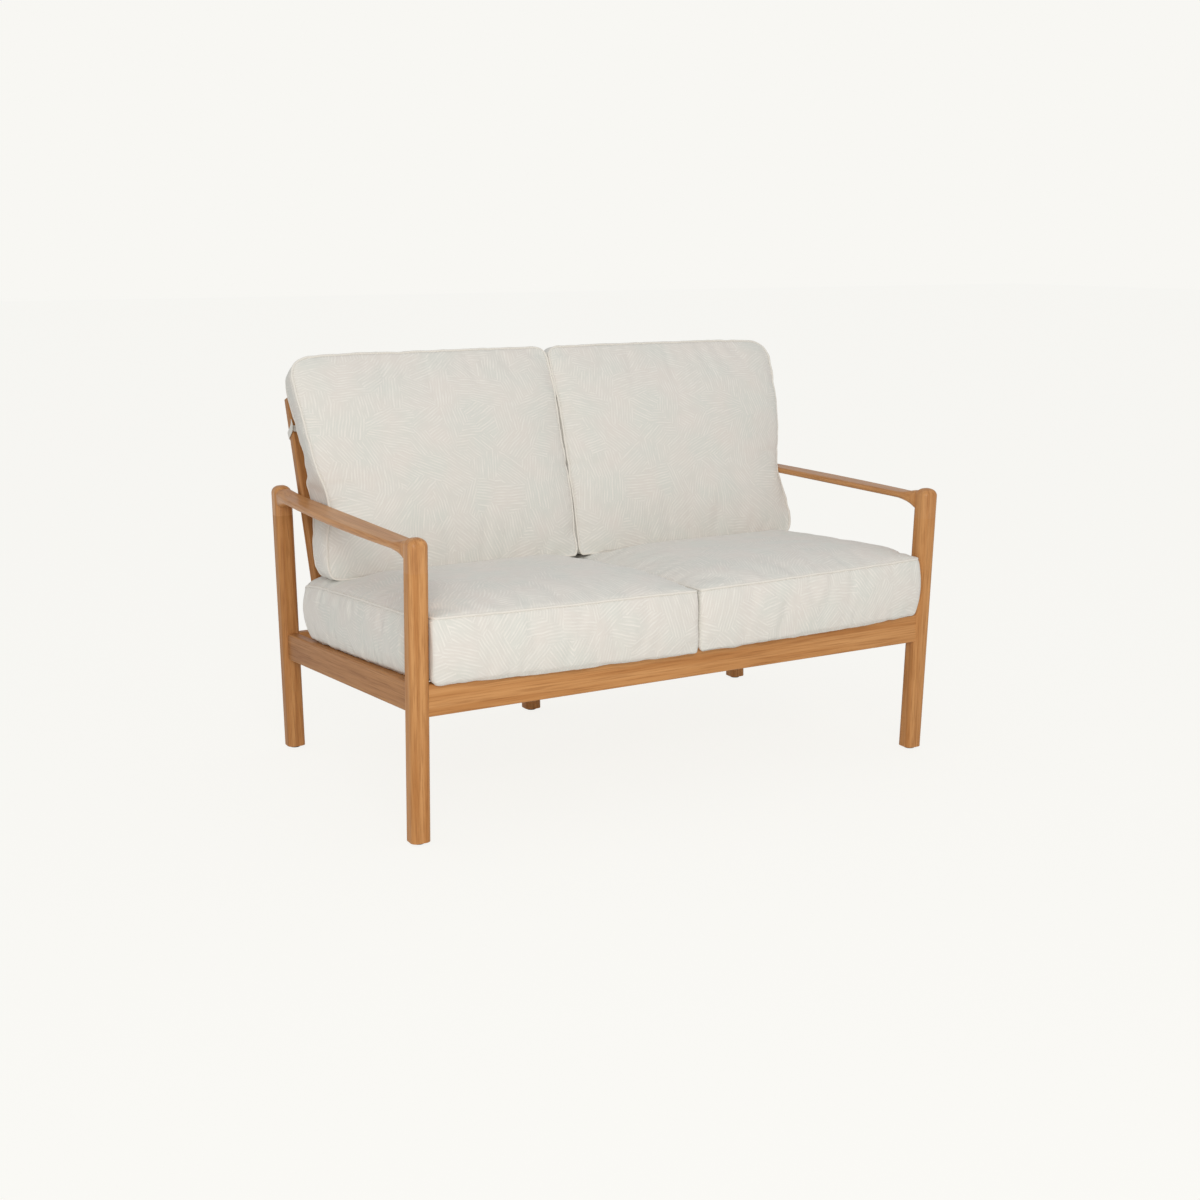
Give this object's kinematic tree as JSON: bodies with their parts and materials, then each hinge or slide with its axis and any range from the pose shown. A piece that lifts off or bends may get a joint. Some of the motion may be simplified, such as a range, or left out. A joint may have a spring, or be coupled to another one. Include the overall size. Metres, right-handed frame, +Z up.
{
  "type": "patio loveseat",
  "caption": "Two-seat patio loveseat with a wood-look welded aluminium frame, slim flat arms, a raked slatted back and loose boxed seat and back cushions.",
  "frame": {"origin": "on the floor, in the middle of the overall footprint", "axes": "+X to the sitter's left along the seat's length, +Y to the rear, +Z up"},
  "size_m": [1.32, 0.8365, 0.9192],
  "materials": {
    "brushed_teak_finish": "satin",
    "cushion_fabric": "matte",
    "foam": "matte",
    "glide": "matte",
    "plug": "matte"
  },
  "bodies": {
    "frame": {"arm_left": "brushed_teak_finish", "arm_right": "brushed_teak_finish", "back_slat_1": "brushed_teak_finish", "back_slat_2": "brushed_teak_finish", "back_slat_3": "brushed_teak_finish", "back_slat_4": "brushed_teak_finish", "back_top_rail": "brushed_teak_finish", "centre_beam": "brushed_teak_finish", "centre_leg": "brushed_teak_finish", "front_leg_left": "brushed_teak_finish", "front_leg_right": "brushed_teak_finish", "front_rail": "brushed_teak_finish", "glide_centre": "glide", "glide_front_left": "glide", "glide_front_right": "glide", "glide_rear_left": "glide", "glide_rear_right": "glide", "leg_plug_centre": "plug", "leg_plug_front_left": "plug", "leg_plug_front_right": "plug", "leg_plug_rear_left": "plug", "leg_plug_rear_right": "plug", "rear_leg_left": "brushed_teak_finish", "rear_leg_right": "brushed_teak_finish", "rear_rail": "brushed_teak_finish", "seat_slat_1": "brushed_teak_finish", "seat_slat_2": "brushed_teak_finish", "seat_slat_3": "brushed_teak_finish", "seat_slat_4": "brushed_teak_finish", "seat_slat_5": "brushed_teak_finish", "seat_slat_6": "brushed_teak_finish", "side_rail_left": "brushed_teak_finish", "side_rail_right": "brushed_teak_finish", "stile_centre": "brushed_teak_finish", "stile_left": "brushed_teak_finish", "stile_rail_left": "brushed_teak_finish", "stile_rail_right": "brushed_teak_finish", "stile_right": "brushed_teak_finish"},
    "seat_cushion_left": {"seat_cover_left": "cushion_fabric", "seat_foam_left": "foam"},
    "seat_cushion_right": {"seat_cover_right": "cushion_fabric", "seat_foam_right": "foam"},
    "back_cushion_left": {"back_cover_left": "cushion_fabric", "back_foam_left": "foam", "tie_strap_left": "cushion_fabric"},
    "back_cushion_right": {"back_cover_right": "cushion_fabric", "back_foam_right": "foam", "tie_strap_right": "cushion_fabric"}
  },
  "joints": [
    {"name": "seat_slide_left", "type": "slide", "parent": "frame", "child": "seat_cushion_left", "axis": [0, -0.9971, 0.0767], "range_m": [0, 0.66]},
    {"name": "seat_slide_right", "type": "slide", "parent": "frame", "child": "seat_cushion_right", "axis": [0, -0.9971, 0.0767], "range_m": [0, 0.66]},
    {"name": "back_slide_left", "type": "slide", "parent": "frame", "child": "back_cushion_left", "axis": [0, 0.319, 0.9478], "range_m": [0, 0.5]},
    {"name": "back_slide_right", "type": "slide", "parent": "frame", "child": "back_cushion_right", "axis": [0, 0.319, 0.9478], "range_m": [0, 0.5]}
  ]
}
